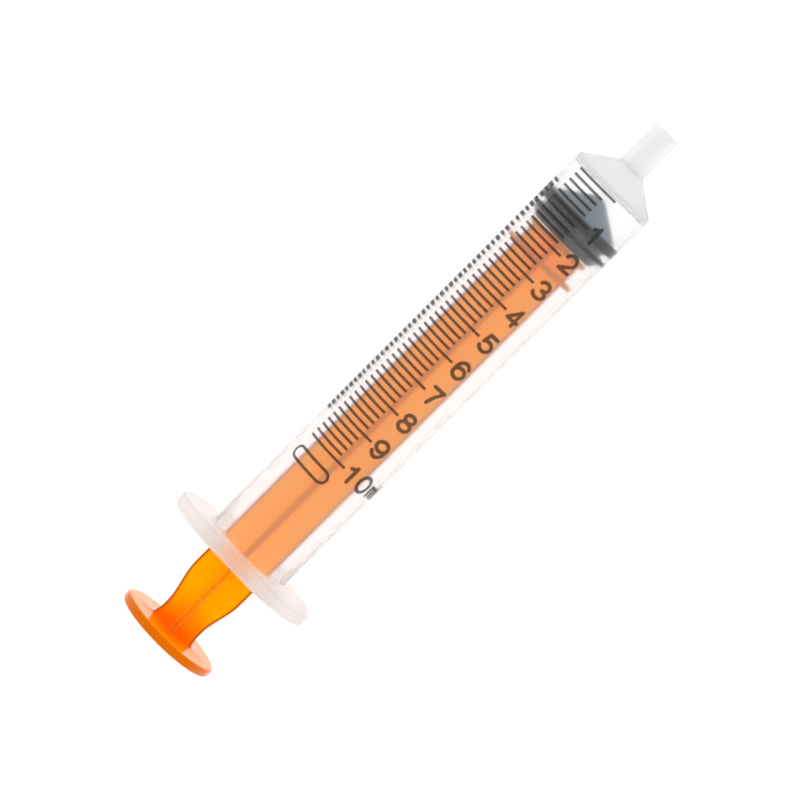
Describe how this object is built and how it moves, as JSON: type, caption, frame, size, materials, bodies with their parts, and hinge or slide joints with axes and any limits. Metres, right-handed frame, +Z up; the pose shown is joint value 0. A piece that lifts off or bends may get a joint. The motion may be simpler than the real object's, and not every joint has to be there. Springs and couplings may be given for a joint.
{
  "type": "oral syringe",
  "caption": "Oral syringe with a clear graduated barrel, oval finger flange and wide slip nozzle, a ribbed coloured plunger rod and a black rubber stopper.",
  "frame": {"origin": "on the resting surface, under the middle of the whole syringe at rest", "axes": "+X along the syringe from the thumb disc to the nozzle, Y across the two ears of the finger flange, +Z up from the flange's flat side that the syringe lies on"},
  "size_m": [0.1168, 0.029, 0.02],
  "materials": {
    "clear_plastic": "clear moulded polypropylene, very slightly milky, with a printed black scale",
    "stopper_rubber": "satin black synthetic rubber with a thin film of silicone",
    "orange_plastic": "translucent orange moulded polypropylene, semi-gloss"
  },
  "bodies": {
    "barrel": {"barrel": "clear_plastic"},
    "stopper": {"stopper": "stopper_rubber"},
    "plunger": {"plunger_rod": "orange_plastic"}
  },
  "joints": [
    {"name": "plunger_slide", "type": "slide", "parent": "barrel", "child": "stopper", "axis": [1, 0, 0], "range_m": [-0.067, 0.0055]},
    {"name": "rod_turn", "type": "hinge", "parent": "stopper", "child": "plunger", "pos_m": [0.034, 0, 0.01], "axis": [1, 0, 0], "continuous": true}
  ]
}
